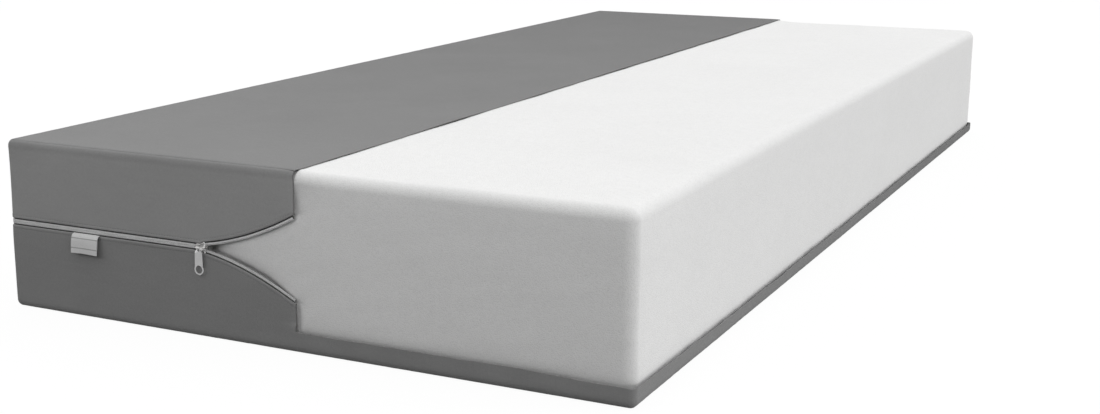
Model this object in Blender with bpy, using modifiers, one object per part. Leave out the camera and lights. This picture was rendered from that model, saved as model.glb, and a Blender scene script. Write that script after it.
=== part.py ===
"""A 90 x 200 foam mattress, shown cut open: one foam core in a two-part zip-off cover.

Metres, +Z up. X runs across the mattress and Y along it, and the origin is the centre of
the underside. The short face at -Y holds the slider, where the zip opens into two chains.
The right half of the upper cover is cut away, and the lower cover is trimmed to a lip there.

A wall's depth is measured inwards from the cover's outer face: cloth, zip tape, foam.
"""

import math

import bmesh
import bpy
from mathutils import Vector

# Overall size, and the gap that pieces lying on each other keep
WIDTH = 0.900
LENGTH = 2.000
HEIGHT = 0.2296
CLEAR = 0.0003

# Cover
CLOTH = 0.0024
COVER_RADIUS = 0.009
CUT_X = 0.009
LIP_TOP = 0.027

# Panel seam: it runs on the rounded edge, at this angle from the panel's normal, and its
# overlocked strip lies inside the cloth
SEAM_DEGREES = 30
SEAM_GAP = 0.0006
SEAM_STRIP = 0.001
SEAM_STRIP_WIDTH = 0.005
SEAM_STRIP_CLEAR = 0.0011

# Foam core
FOAM_DEPTH = 0.0043
FOAM_RADIUS = 0.016

# Zip: one half's coil runs CHAIN_HALF off the zip's centre line while the zip is closed
ZIP_Z = 0.1184
CHAIN_HALF = 0.00145
COIL_WIDTH = 0.0026
COIL_DEPTH = (0.0003, CLOTH)
TAPE_DEPTH = (CLOTH + CLEAR, 0.0032)
TAPE_FREE_EDGE = 0.0012
TAPE_SEWN_EDGE = 0.0105
CLOTH_EDGE = 0.00305
STITCH_SETBACK = 0.0035
STITCH_RADIUS = 0.0003

# Opening: past OPEN_X the two chains part, quickly inside the slider and then in a slow curve
OPEN_X = -0.1345
OPEN_END_X = CUT_X - 0.004
PARTING = 0.0017
PARTING_LENGTH = 0.004
SPREAD = 0.15
SPREAD_CURVE = 1.41

# Slider and pull tab
SLIDER_X = -0.1325
FRONT_PLATE_OUT = (0.0003, 0.0015)
BACK_PLATE_DEPTH = (0.0035, 0.0040)
FLANGE_Z = (0.0031, 0.0041)
FLANGE_X = (-0.0070, -0.0022)
BRIDGE_OUT = 0.0045
BRIDGE_RADIUS = 0.0006
BRIDGE_X = (-0.0066, 0.0036)
TAB_X = SLIDER_X - 0.0015
TAB_THICKNESS = 0.0007
TAB_TWIST = 0.53
EYE_CENTRE_Z = -0.0021
EYE_RADIUS = 0.0043
EYE_HOLE_RADIUS = 0.0029
RING_CENTRE_Z = -0.0280
RING_RADIUS = 0.0068
RING_HOLE_RADIUS = 0.0053

# Label
LABEL_X = (-0.338, -0.295)
LABEL_THICKNESS = 0.0009
LABEL_TOP_OUT = 0.0009
LABEL_TOP_Z = ZIP_Z - 0.0036

HALF_WIDTH = WIDTH / 2
HALF_LENGTH = LENGTH / 2
UP = Vector((0, 0, 1))


# ---------------------------------------------------------------- scene helpers


def clear_scene():
    for obj in list(bpy.data.objects):
        bpy.data.objects.remove(obj, do_unlink=True)


def new_collection(name):
    collection = bpy.data.collections.new(name)
    bpy.context.scene.collection.children.link(collection)
    return collection


def new_material(name, grey, roughness, metallic=0.0):
    material = bpy.data.materials.new(name)
    material.use_nodes = True
    shader = material.node_tree.nodes["Principled BSDF"]
    shader.inputs["Base Color"].default_value = (grey, grey, grey, 1.0)
    shader.inputs["Roughness"].default_value = roughness
    shader.inputs["Metallic"].default_value = metallic
    return material


def add_part(name, bm, material, origin=(0, 0, 0), parent=None, smooth_angle=40):
    """Turns a bmesh in world coordinates into a sub-part whose origin is the given point."""
    bmesh.ops.recalc_face_normals(bm, faces=bm.faces)
    bmesh.ops.translate(bm, vec=-Vector(origin), verts=bm.verts)
    mesh = bpy.data.meshes.new(name)
    bm.to_mesh(mesh)
    bm.free()
    mesh.shade_smooth()
    mesh.set_sharp_from_angle(angle=math.radians(smooth_angle))
    mesh.materials.append(material)
    obj = bpy.data.objects.new(name, mesh)
    parts.objects.link(obj)
    place(obj, origin, parent)
    return obj


def add_cutter(name, bm, origin=(0, 0, 0)):
    """A helper solid for a Boolean, left out of the finished object."""
    bmesh.ops.recalc_face_normals(bm, faces=bm.faces)
    mesh = bpy.data.meshes.new(name)
    bm.to_mesh(mesh)
    bm.free()
    obj = bpy.data.objects.new(name, mesh)
    cutters.objects.link(obj)
    obj.location = origin
    obj.hide_render = True
    obj.display_type = "WIRE"
    return obj


def add_empty(name, location, parent=None):
    empty = bpy.data.objects.new(name, None)
    empty.empty_display_size = 0.05
    parts.objects.link(empty)
    place(empty, location, parent)
    return empty


def place(obj, world_point, parent):
    """Sets the object's world position under its parent. Empties and parts are never turned."""
    obj.location = world_point
    if parent:
        bpy.context.view_layer.update()
        obj.parent = parent
        obj.location = Vector(world_point) - parent.matrix_world.translation


def face_outwards(mesh):
    """Turns an open shell's faces away from the mattress's vertical centre line."""
    if sum(p.normal.dot(p.center) * p.area for p in mesh.polygons) < 0:
        mesh.flip_normals()


def boolean(obj, cutter, operation):
    modifier = obj.modifiers.new(f"{operation.lower()} {cutter.name}", "BOOLEAN")
    modifier.operation = operation
    modifier.solver = "EXACT"
    modifier.object = cutter


def solidify(obj, thickness, offset):
    modifier = obj.modifiers.new("cloth", "SOLIDIFY")
    modifier.thickness = thickness
    modifier.offset = offset
    modifier.use_even_offset = True


def bevel(obj, width, segments):
    modifier = obj.modifiers.new("rounded edges", "BEVEL")
    modifier.width = width
    modifier.segments = segments
    modifier.limit_method = "ANGLE"
    modifier.angle_limit = math.radians(40)


# ---------------------------------------------------------------- shape helpers


def box_bmesh(low, high):
    low, high = Vector(low), Vector(high)
    bm = bmesh.new()
    bmesh.ops.create_cube(bm, size=1.0)
    bmesh.ops.scale(bm, vec=high - low, verts=bm.verts)
    bmesh.ops.translate(bm, vec=(low + high) / 2, verts=bm.verts)
    return bm


def prism_bmesh(outline, y_low, y_high):
    """A flat outline of (x, z) points, extruded along Y."""
    bm = bmesh.new()
    face = bm.faces.new([bm.verts.new((x, y_low, z)) for x, z in outline])
    moved = bmesh.ops.extrude_face_region(bm, geom=[face])["geom"]
    bmesh.ops.translate(
        bm,
        vec=(0, y_high - y_low, 0),
        verts=[v for v in moved if isinstance(v, bmesh.types.BMVert)],
    )
    return bm


def mirrored(half):
    """A closed outline from its upper half, listed from one end of the centre line to the other."""
    return half + [(x, -z) for x, z in reversed(half) if abs(z) > 1e-9]


def arc(centre_x, centre_z, radius, first_degrees, last_degrees, steps):
    angles = [
        math.radians(first_degrees + (last_degrees - first_degrees) * i / steps)
        for i in range(steps + 1)
    ]
    return [(centre_x + radius * math.cos(a), centre_z + radius * math.sin(a)) for a in angles]


def spaced(first, last, count):
    return [first + (last - first) * i / count for i in range(count + 1)]


def sweep_bmesh(stations, profile, closed=False):
    """A solid whose profile of (across, outward) points is carried along the stations.

    A station is its origin, the direction across the strip and the direction out of the wall.
    """
    bm = bmesh.new()
    rings = [
        [bm.verts.new(origin + across * a + outward * o) for a, o in profile]
        for origin, across, outward in stations
    ]
    count = len(profile)
    pairs = list(zip(rings, rings[1:]))
    if closed:
        pairs.append((rings[-1], rings[0]))
    for ring, following in pairs:
        for i in range(count):
            j = (i + 1) % count
            bm.faces.new((ring[i], ring[j], following[j], following[i]))
    if not closed:
        bm.faces.new(rings[0])
        bm.faces.new(reversed(rings[-1]))
    return bm


def rectangle(low_across, high_across, low_out, high_out):
    return [
        (low_across, low_out),
        (high_across, low_out),
        (high_across, high_out),
        (low_across, high_out),
    ]


def corner_points(depth, corner_x, corner_y, first_degrees, last_degrees, steps=5):
    """Plan points and outward normals round one vertical corner of the cover."""
    points = []
    for i in range(steps + 1):
        angle = math.radians(first_degrees + (last_degrees - first_degrees) * i / steps)
        normal = Vector((math.cos(angle), math.sin(angle), 0))
        points.append((Vector((corner_x, corner_y, 0)) + normal * (COVER_RADIUS - depth), normal))
    return points


def left_route(depth, near_xs, far_xs):
    """The plan route from the near face round the left long side to the far face."""
    corner_x = -HALF_WIDTH + COVER_RADIUS
    corner_y = HALF_LENGTH - COVER_RADIUS
    near, far = Vector((0, -1, 0)), Vector((0, 1, 0))
    route = [(Vector((x, -HALF_LENGTH + depth, 0)), near) for x in near_xs]
    route += corner_points(depth, corner_x, -corner_y, 270, 180)
    route += corner_points(depth, corner_x, corner_y, 180, 90)
    route += [(Vector((x, HALF_LENGTH - depth, 0)), far) for x in far_xs]
    return route


def whole_route(depth):
    """The closed plan route round all four sides."""
    corner_x = HALF_WIDTH - COVER_RADIUS
    corner_y = HALF_LENGTH - COVER_RADIUS
    route = corner_points(depth, corner_x, -corner_y, 360, 270)
    route += corner_points(depth, -corner_x, -corner_y, 270, 180)
    route += corner_points(depth, -corner_x, corner_y, 180, 90)
    route += corner_points(depth, corner_x, corner_y, 90, 0)
    return route


# ---------------------------------------------------------------- zip geometry


def chain_offset(x):
    """How far one chain's coil lies above or below the zip's centre line."""
    past = x - OPEN_X
    if past <= 0:
        return CHAIN_HALF
    parting = PARTING * (1 - math.exp(-((past / PARTING_LENGTH) ** 2)))
    return CHAIN_HALF + parting + SPREAD * past + SPREAD_CURVE * past**2


def cloth_offset(x):
    """How far the cover's cut edge lies from the zip's centre line, CLOTH_EDGE off the coil."""
    step = 0.0005
    slope = (chain_offset(x + step) - chain_offset(x - step)) / (2 * step)
    return chain_offset(x) + CLOTH_EDGE * math.hypot(1, slope)


def opening_xs(end_x):
    """X positions along the near face: close together in the slider, wider in the opening."""
    return spaced(end_x, OPEN_X + 0.012, 12) + spaced(OPEN_X + 0.0105, OPEN_X - 0.0015, 8)


def chain_stations(side, depth, end_x, offset_at=chain_offset, turned=False):
    """Stations along one half of the zip. Side is 1 for the upper half, -1 for the lower."""
    near_xs = opening_xs(end_x)
    route = left_route(depth, near_xs, [CUT_X])
    origins = []
    for number, (point, _) in enumerate(route):
        offset = offset_at(point.x) if number < len(near_xs) else offset_at(OPEN_X - 1)
        origins.append(point + UP * (ZIP_Z + side * offset))
    stations = []
    for number, (_, outward) in enumerate(route):
        across = UP * side
        if turned:
            before = origins[max(number - 1, 0)]
            after = origins[min(number + 1, len(origins) - 1)]
            across = (after - before).cross(outward).normalized()
            if across.z * side < 0:
                across.negate()
        stations.append((origins[number], across, outward))
    return stations


def opening_cutter():
    """The wedge between the two cut cloth edges, taken out of both side bands."""
    xs = spaced(OPEN_X, CUT_X + 0.02, 18)
    offsets = [cloth_offset(x) for x in xs]
    offsets[0] = CHAIN_HALF + CLOTH_EDGE - 0.0001
    outline = [(x, ZIP_Z + o) for x, o in zip(xs, offsets)]
    outline += [(x, ZIP_Z - o) for x, o in reversed(list(zip(xs, offsets)))]
    bm = prism_bmesh(outline, -HALF_LENGTH - 0.02, -HALF_LENGTH + 0.02)
    return add_cutter("opening_cutter", bm)


# ---------------------------------------------------------------- sub-parts


def build_foam_core(parent):
    low = (-HALF_WIDTH + FOAM_DEPTH, -HALF_LENGTH + FOAM_DEPTH, CLOTH + CLEAR)
    high = (HALF_WIDTH - FOAM_DEPTH, HALF_LENGTH - FOAM_DEPTH, HEIGHT - FOAM_DEPTH)
    foam = add_part("foam_core", box_bmesh(low, high), foam_material, (0, 0, low[2]), parent)
    bevel(foam, FOAM_RADIUS, 5)


def build_cover_piece(name, right_x, z_face, z_rim, is_panel, parent, cuts=()):
    """One cloth piece, out of an open box with rounded edges that the panel seam divides.

    The flat panel lies on the face's side of the seam, and the side band on the rim's side. A
    box that stops short of the full width is open on its right side too.
    """
    side = 1 if z_face > z_rim else -1
    bm = box_bmesh(
        (-HALF_WIDTH, -HALF_LENGTH, min(z_face, z_rim)),
        (right_x, HALF_LENGTH, max(z_face, z_rim)),
    )
    removed = [
        f
        for f in bm.faces
        if f.normal.z * side < -0.5 or (right_x < HALF_WIDTH and f.normal.x > 0.5)
    ]
    bmesh.ops.delete(bm, geom=removed, context="FACES_ONLY")
    folds = [e for e in bm.edges if len(e.link_faces) == 2]
    bmesh.ops.bevel(
        bm, geom=folds, offset=COVER_RADIUS, segments=4, profile=0.5, affect="EDGES"
    )
    seam_drop = COVER_RADIUS * (1 - math.cos(math.radians(SEAM_DEGREES)))
    seam_drop += -SEAM_GAP / 2 if is_panel else SEAM_GAP / 2
    bmesh.ops.bisect_plane(
        bm,
        geom=bm.verts[:] + bm.edges[:] + bm.faces[:],
        dist=1e-7,
        plane_co=(0, 0, z_face - side * seam_drop),
        plane_no=UP * side,
        clear_inner=is_panel,
        clear_outer=not is_panel,
    )
    piece = add_part(name, bm, cover_material, (0, 0, z_face), parent)
    face_outwards(piece.data)
    solidify(piece, CLOTH, -1)
    for cutter in cuts:
        boolean(piece, cutter, "DIFFERENCE")


def build_panel_seam(name, route_at, closed, z_face, side, parent):
    """The overlocked strip that joins a panel to its side band, square to the rounded edge."""
    angle = math.radians(SEAM_DEGREES)
    radius = COVER_RADIUS - CLOTH - SEAM_STRIP_CLEAR
    depth = COVER_RADIUS - radius * math.sin(angle)
    seam_z = z_face - side * (COVER_RADIUS - radius * math.cos(angle))
    stations = []
    for point, outward in route_at(depth):
        out_of_edge = outward * math.sin(angle) + UP * side * math.cos(angle)
        along_edge = UP * side * math.sin(angle) - outward * math.cos(angle)
        stations.append((point + UP * seam_z, along_edge, out_of_edge))
    half = SEAM_STRIP_WIDTH / 2
    profile = rectangle(-half, half, -SEAM_STRIP, 0)
    add_part(name, sweep_bmesh(stations, profile, closed), thread_material, (0, 0, 0), parent)


def build_zip_half(prefix, side, parent):
    tape = chain_stations(side, TAPE_DEPTH[0], CUT_X)
    profile = rectangle(-TAPE_FREE_EDGE, TAPE_SEWN_EDGE, TAPE_DEPTH[0] - TAPE_DEPTH[1], 0)
    add_part(f"{prefix}_zip_tape", sweep_bmesh(tape, profile), tape_material, parent=parent)

    middle = sum(COIL_DEPTH) / 2
    half_height = (COIL_DEPTH[1] - COIL_DEPTH[0]) / 2
    profile = [
        (COIL_WIDTH / 2 * math.cos(math.radians(a)), half_height * math.sin(math.radians(a)))
        for a in range(0, 360, 45)
    ]
    coil = chain_stations(side, middle, OPEN_END_X, turned=True)
    add_part(f"{prefix}_zip_coil", sweep_bmesh(coil, profile), coil_material, parent=parent)

    def stitch_offset(x):
        return cloth_offset(x) + STITCH_SETBACK

    thread = chain_stations(side, -CLEAR - STITCH_RADIUS, CUT_X - 0.001, stitch_offset)
    profile = arc(0, 0, STITCH_RADIUS, 0, 300, 5)
    add_part(f"{prefix}_zip_stitching", sweep_bmesh(thread, profile), thread_material, parent=parent)


def build_slider(parent):
    """Front plate, back plate, the wedge that parts the chains, two flanges and the bridge."""
    origin = Vector((SLIDER_X, -HALF_LENGTH, ZIP_Z))
    half_outline = [
        (-0.0076, 0.0014),
        (-0.0073, 0.0028),
        (-0.0063, 0.0038),
        (-0.0040, 0.0042),
        (-0.0010, 0.0044),
        (0.0012, 0.0054),
        (0.0030, 0.0067),
        (0.0046, 0.0072),
        (0.0062, 0.0071),
        (0.0071, 0.0062),
        (0.0074, 0.0046),
        (0.0067, 0.0024),
        (0.0056, 0.0),
    ]
    front = prism_bmesh(mirrored(half_outline), -FRONT_PLATE_OUT[1], -FRONT_PLATE_OUT[0])
    bmesh.ops.translate(front, vec=origin, verts=front.verts)
    body = add_part("zip_slider_body", front, metal_material, origin, parent)
    bevel(body, 0.00025, 2)

    back_outline = [
        (-0.0070, 0.0030),
        (-0.0050, 0.0042),
        (0.0030, 0.0055),
        (0.0060, 0.0050),
        (0.0066, 0.0030),
    ]
    helpers = [
        ("slider_back_plate", prism_bmesh(mirrored(back_outline), *BACK_PLATE_DEPTH)),
        (
            "slider_wedge",
            prism_bmesh(mirrored([(0.0022, 0.0004), (0.0050, 0.0017)]), -0.0008, 0.0038),
        ),
    ]
    for side in (1, -1):
        low_z, high_z = sorted(side * z for z in FLANGE_Z)
        flange = box_bmesh((FLANGE_X[0], -0.0008, low_z), (FLANGE_X[1], CLOTH, high_z))
        helpers.append((f"slider_flange_{'upper' if side > 0 else 'lower'}", flange))
    for name, bm in helpers:
        boolean(body, add_cutter(name, bm, origin), "UNION")
    boolean(body, bridge_solid(origin), "UNION")


def bridge_solid(origin):
    """The arch that the pull tab hangs on, as a bent wire standing on the front plate."""
    bend = 0.0009
    foot = -0.0008
    left, right = BRIDGE_X
    points = [(left, -foot)]
    points += arc(left + bend, BRIDGE_OUT - bend, bend, 180, 90, 4)
    points += arc(right - bend, BRIDGE_OUT - bend, bend, 90, 0, 4)
    points += [(right, -foot)]
    curve = bpy.data.curves.new("slider_bridge", "CURVE")
    curve.dimensions = "3D"
    curve.bevel_depth = BRIDGE_RADIUS
    curve.bevel_resolution = 2
    curve.use_fill_caps = True
    spline = curve.splines.new("POLY")
    spline.points.add(len(points) - 1)
    for point, (x, out) in zip(spline.points, points):
        point.co = (x, -out, 0, 1)
    wire = bpy.data.objects.new("slider_bridge_curve", curve)
    cutters.objects.link(wire)
    bpy.context.view_layer.update()
    graph = bpy.context.evaluated_depsgraph_get()
    mesh = bpy.data.meshes.new_from_object(wire.evaluated_get(graph))
    bpy.data.objects.remove(wire, do_unlink=True)
    bm = bmesh.new()
    bm.from_mesh(mesh)
    bmesh.ops.remove_doubles(bm, verts=bm.verts, dist=1e-6)
    return add_cutter("slider_bridge", bm, origin)


def build_pull_tab(parent):
    """A flat tab with a finger ring below and an eye above, twisted so that it links the bridge."""
    outline = arc(0, EYE_CENTRE_Z, EYE_RADIUS, 180, 0, 12)
    outline += [(0.0049, -0.0048), (0.0056, -0.0068), (0.0060, -0.0200)]
    outline += arc(0, RING_CENTRE_Z, RING_RADIUS, 28, -208, 20)
    outline += [(-0.0060, -0.0200), (-0.0056, -0.0068), (-0.0049, -0.0048)]
    loops = [
        outline,
        arc(0, EYE_CENTRE_Z + 0.0001, EYE_HOLE_RADIUS, 0, 345, 23),
        arc(0, RING_CENTRE_Z, RING_HOLE_RADIUS, 0, 345, 23),
    ]
    bm = bmesh.new()
    for loop in loops:
        verts = [bm.verts.new((x, -TAB_THICKNESS / 2, z)) for x, z in loop]
        for first, second in zip(verts, verts[1:] + verts[:1]):
            bm.edges.new((first, second))
    bmesh.ops.triangle_fill(bm, use_beauty=True, edges=bm.edges)
    for z in spaced(0.0015, -0.0095, 11):
        everything = bm.verts[:] + bm.edges[:] + bm.faces[:]
        bmesh.ops.bisect_plane(bm, geom=everything, dist=1e-6, plane_co=(0, 0, z), plane_no=UP)
    moved = bmesh.ops.extrude_face_region(bm, geom=bm.faces[:])["geom"]
    bmesh.ops.translate(
        bm,
        vec=(0, TAB_THICKNESS, 0),
        verts=[v for v in moved if isinstance(v, bmesh.types.BMVert)],
    )
    for vert in bm.verts:
        share = min(max((vert.co.z + 0.009) / 0.0055, 0), 1)
        share = share * share * (3 - 2 * share)
        vert.co.y -= TAB_TWIST * vert.co.x * share
    axis = Vector((TAB_X, -HALF_LENGTH - BRIDGE_OUT, ZIP_Z))
    bmesh.ops.translate(bm, vec=axis, verts=bm.verts)
    add_part("zip_pull_tab", bm, tab_material, axis, parent)


def build_label(parent):
    """A folded label sewn in below the zip: it leaves the seam, bends down and stands off."""
    profile = [(0.0, 0.0), (0.0015, -0.0008), (0.0028, -0.0026), (0.0040, -0.0062)]
    profile += [(0.0060, -0.0158), (0.0072, -0.0250)]
    axis = Vector((sum(LABEL_X) / 2, -HALF_LENGTH - LABEL_TOP_OUT, LABEL_TOP_Z))
    bm = bmesh.new()
    lines = [
        [bm.verts.new((x, axis.y - out, axis.z + z)) for out, z in profile] for x in LABEL_X
    ]
    for (a, b), (c, d) in zip(zip(lines[0], lines[0][1:]), zip(lines[1], lines[1][1:])):
        bm.faces.new((a, b, d, c))
    label = add_part("seam_label", bm, label_material, axis, parent)
    solidify(label, LABEL_THICKNESS, 0)


def build_covers(upper_empty, lower_empty):
    opening = opening_cutter()
    trim = add_cutter(
        "trim_cutter",
        box_bmesh((CUT_X, -LENGTH, LIP_TOP), (WIDTH, LENGTH, HEIGHT)),
    )
    upper_rim = ZIP_Z + CHAIN_HALF + CLOTH_EDGE
    lower_rim = ZIP_Z - CHAIN_HALF - CLOTH_EDGE
    upper = (CUT_X, HEIGHT, upper_rim)
    lower = (HALF_WIDTH, 0, lower_rim)
    build_cover_piece("upper_cover_top_panel", *upper, True, upper_empty)
    build_cover_piece("upper_cover_side_band", *upper, False, upper_empty, [opening])
    build_cover_piece("lower_cover_bottom_panel", *lower, True, lower_empty)
    build_cover_piece("lower_cover_side_band", *lower, False, lower_empty, [opening, trim])

    def left_of_cut(depth):
        return left_route(depth, [CUT_X], [CUT_X])

    build_panel_seam("upper_panel_seam", left_of_cut, False, HEIGHT, 1, upper_empty)
    build_panel_seam("lower_panel_seam", whole_route, True, 0, -1, lower_empty)


clear_scene()
parts = new_collection("foam_mattress")
cutters = new_collection("foam_mattress_cutters")

foam_material = new_material("foam", 0.85, 0.95)
cover_material = new_material("cover_cloth", 0.26, 0.85)
tape_material = new_material("zip_tape", 0.10, 0.85)
coil_material = new_material("zip_coil", 0.42, 0.45)
thread_material = new_material("sewing_thread", 0.20, 0.75)
metal_material = new_material("slider_metal", 0.62, 0.28, 1.0)
tab_material = new_material("pull_tab_metal", 0.50, 0.38, 1.0)
label_material = new_material("label_cloth", 0.45, 0.80)

lower_cover = add_empty("lower_cover", (0, 0, 0))
core = add_empty("core", (0, 0, CLOTH + CLEAR), lower_cover)
upper_cover = add_empty("upper_cover", (0, 0, HEIGHT), core)
slider = add_empty("slider", (SLIDER_X, -HALF_LENGTH, ZIP_Z), lower_cover)

build_covers(upper_cover, lower_cover)
build_foam_core(core)
build_zip_half("upper", 1, upper_cover)
build_zip_half("lower", -1, lower_cover)
build_slider(slider)
build_pull_tab(slider)
build_label(lower_cover)
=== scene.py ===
"""The looks of the cut-open foam mattress: soft foam, knitted cover, coil zip, slider and label.

Everything is in metres, in the CAD model's frame: X across the mattress, Y along it, Z up.
A cloth piece is a grid of stations along the cover's wall and rows up it. Its UV map holds
the same two distances in metres, so that every knit and weave keeps its true scale.
"""

import math

import bmesh
import bpy
import numpy as np
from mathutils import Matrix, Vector


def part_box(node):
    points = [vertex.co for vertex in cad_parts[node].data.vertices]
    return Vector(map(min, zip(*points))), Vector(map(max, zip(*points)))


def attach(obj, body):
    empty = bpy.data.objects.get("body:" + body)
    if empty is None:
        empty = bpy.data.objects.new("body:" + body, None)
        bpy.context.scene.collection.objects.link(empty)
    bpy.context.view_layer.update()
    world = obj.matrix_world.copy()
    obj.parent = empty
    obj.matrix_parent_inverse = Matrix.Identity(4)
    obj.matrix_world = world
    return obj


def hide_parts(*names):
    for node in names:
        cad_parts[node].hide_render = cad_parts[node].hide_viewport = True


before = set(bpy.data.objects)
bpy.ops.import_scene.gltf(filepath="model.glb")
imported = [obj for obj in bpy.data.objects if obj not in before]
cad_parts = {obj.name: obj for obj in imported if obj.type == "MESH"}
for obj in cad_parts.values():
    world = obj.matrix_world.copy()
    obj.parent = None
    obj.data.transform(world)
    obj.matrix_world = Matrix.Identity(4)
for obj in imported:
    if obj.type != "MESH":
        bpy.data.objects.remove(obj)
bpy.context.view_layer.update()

# ---- sizes

panel_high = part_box("upper_cover_top_panel")[1]
band_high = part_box("lower_cover_side_band")[1]
slider_low, slider_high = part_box("zip_slider_body")
label_low, label_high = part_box("seam_label")
foam_low, foam_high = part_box("foam_core")

HALF_WIDTH = band_high.x
HALF_LENGTH = band_high.y
HEIGHT = panel_high.z
CUT_X = panel_high.x
ZIP_Z = (slider_low.z + slider_high.z) / 2

# The cover: its rounded edges, its cloth, where on the rounding its seam lies, and its low lip.
COVER_RADIUS = 0.009
CLOTH = 0.0024
SEAM_ANGLE = math.radians(30)
SEAM_GAP = 0.00005
LIP_TOP = 0.027
WALL_Z = (COVER_RADIUS, HEIGHT - COVER_RADIUS)

# The zip: half its closed coils, the cloth's edge beside them, and the curve of its open halves.
CHAIN_HALF = 0.00145
CLOTH_EDGE = 0.00305
OPEN_X = -0.1345
OPEN_END_X = CUT_X - 0.004
PARTING, PARTING_LENGTH = 0.0017, 0.004
SPREAD, SPREAD_CURVE = 0.15, 1.41
STITCH_SETBACK = 0.0035

# The slider and the bridge that its pull tab hangs on.
SLIDER_X = -0.1325
TAB_X = SLIDER_X - 0.0015
BRIDGE_OUT = 0.0045

FOAM_RADIUS = 0.016
UV_NAME = "flat"
TINY = 1e-6
WAVE_COUNT = 10


# ---- mesh helpers


def bmesh_object(name, bm, material, mesh=None):
    """An object from a bmesh, with its faces turned outwards."""
    mesh = mesh or bpy.data.meshes.new(name)
    bmesh.ops.recalc_face_normals(bm, faces=bm.faces)
    bm.to_mesh(mesh)
    bm.free()
    mesh.materials.append(material)
    obj = bpy.data.objects.new(name, mesh)
    bpy.context.scene.collection.objects.link(obj)
    return obj


def mesh_object(name, points, faces, material, uvs=None):
    """A smooth-shaded object from arrays. uvs has one (u, v) for each point, in metres."""
    mesh = bpy.data.meshes.new(name)
    mesh.from_pydata(np.asarray(points).tolist(), [], [list(map(int, f)) for f in faces])
    if uvs is not None:
        corners = np.zeros(len(mesh.loops), np.int32)
        mesh.loops.foreach_get("vertex_index", corners)
        layer = mesh.uv_layers.new(name=UV_NAME)
        layer.data.foreach_set("uv", np.asarray(uvs, np.float32)[corners].ravel())
    mesh.shade_smooth()
    bm = bmesh.new()
    bm.from_mesh(mesh)
    return bmesh_object(name, bm, material, mesh)


def finish_piece(obj, body, node_name):
    """The piece rides on its body and stands for its CAD node, which is hidden."""
    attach(obj, body)
    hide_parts(node_name)


def unit(vectors):
    return vectors / np.maximum(np.linalg.norm(vectors, axis=-1, keepdims=True), 1e-12)


def waves(u, v, length, seed):
    """A smooth random field of about -1 to 1, made of plane waves in random directions."""
    random = np.random.default_rng(seed)
    total = np.zeros(np.broadcast(u, v).shape)
    for _ in range(WAVE_COUNT):
        angle, size, phase = random.uniform((0, 0.7, 0), (math.pi, 1.5, 2 * math.pi))
        along = u * math.cos(angle) + v * math.sin(angle)
        total += np.sin(2 * math.pi * along / (length * size) + phase)
    return total / math.sqrt(WAVE_COUNT)


def gathers(along, length, patch, seed):
    """Waves along one line, stronger in some patches than in others."""
    return waves(along, 0, length, seed) * (0.6 + 0.4 * waves(along, 0, patch, seed + 1))


def bump(distance, centre, width):
    return np.exp(-(((distance - centre) / width) ** 2))


def blend_step(x, low, high):
    t = np.clip((x - low) / (high - low), 0, 1)
    return t * t * (3 - 2 * t)


def distances(points):
    """How far along a line of points each one lies."""
    return np.concatenate([[0], np.cumsum(np.linalg.norm(np.diff(points, axis=0), axis=1))])


def sampled(at, walked, values):
    """Rows of values that are known at the walked distances, read at others."""
    return np.stack([np.interp(at, walked, column) for column in values.T], -1)


def swept(rings):
    """Points and faces of a bar through its cross-sections, closed at both ends."""
    count, sides = rings.shape[:2]
    row = np.arange(count - 1)[:, None] * sides
    a, b = row + np.arange(sides), row + (np.arange(sides) + 1) % sides
    quads = np.stack([a, a + sides, b + sides, b], -1).reshape(-1, 4).tolist()
    last = (count - 1) * sides
    caps = [list(range(sides)), [last + i for i in reversed(range(sides))]]
    return rings.reshape(-1, 3), quads + caps


def tube(points, side_hint, radius, sides):
    """A round wire along a line of points."""
    along = unit(np.gradient(points, axis=0))
    first = unit(np.cross(along, side_hint))
    second = np.cross(along, first)
    angles = np.arange(sides) * 2 * math.pi / sides
    ring = first[:, None] * np.cos(angles)[:, None] + second[:, None] * np.sin(angles)[:, None]
    return swept(points[:, None] + ring * np.broadcast_to(radius, len(points))[:, None, None])


def merged(shapes):
    """Several (points, faces) shapes as one."""
    points, faces, start = [], [], 0
    for verts, polygons in shapes:
        points.append(verts)
        faces += [[start + i for i in face] for face in polygons]
        start += len(verts)
    return np.concatenate(points), faces


# ---- material helpers


def new_material(name):
    material = bpy.data.materials.new(name)
    material.use_nodes = True
    return material, material.node_tree.nodes["Principled BSDF"]


def set_inputs(made, inputs):
    """Sets a node's sockets: another node's output is linked, a plain value is stored."""
    for key, value in inputs.items():
        if isinstance(value, bpy.types.NodeSocket):
            made.id_data.links.new(value, made.inputs[key])
        else:
            made.inputs[key].default_value = value


def source(beside, kind, **settings):
    """A new node in the same tree as this node or socket."""
    made = beside.id_data.nodes.new("ShaderNode" + kind)
    for key, value in settings.items():
        setattr(made, key, value)
    return made


def node(kind, inputs, **settings):
    """A new node in the tree of its first linked input."""
    linked = [value for value in inputs.values() if isinstance(value, bpy.types.NodeSocket)]
    made = source(linked[0], kind, **settings)
    set_inputs(made, inputs)
    return made


def maths(operation, *values):
    """One Math node, and its output."""
    return node("Math", dict(enumerate(values)), operation=operation).outputs[0]


def ripples(value, period=1.0):
    """A sine wave from 0 to 1."""
    wave = maths("SINE", maths("MULTIPLY", value, 2 * math.pi / period))
    return maths("MULTIPLY_ADD", wave, 0.5, 0.5)


def distance_to(value, centre):
    return maths("ABSOLUTE", maths("SUBTRACT", value, centre))


def flat_position(shader):
    """Where a point lies on the flat cloth: across and along, in metres."""
    uv = source(shader, "UVMap", uv_map=UV_NAME).outputs["UV"]
    parts = node("SeparateXYZ", {0: uv})
    return uv, parts.outputs[0], parts.outputs[1]


def solid_position(shader):
    return source(shader, "TexCoord").outputs["Object"]


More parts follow.
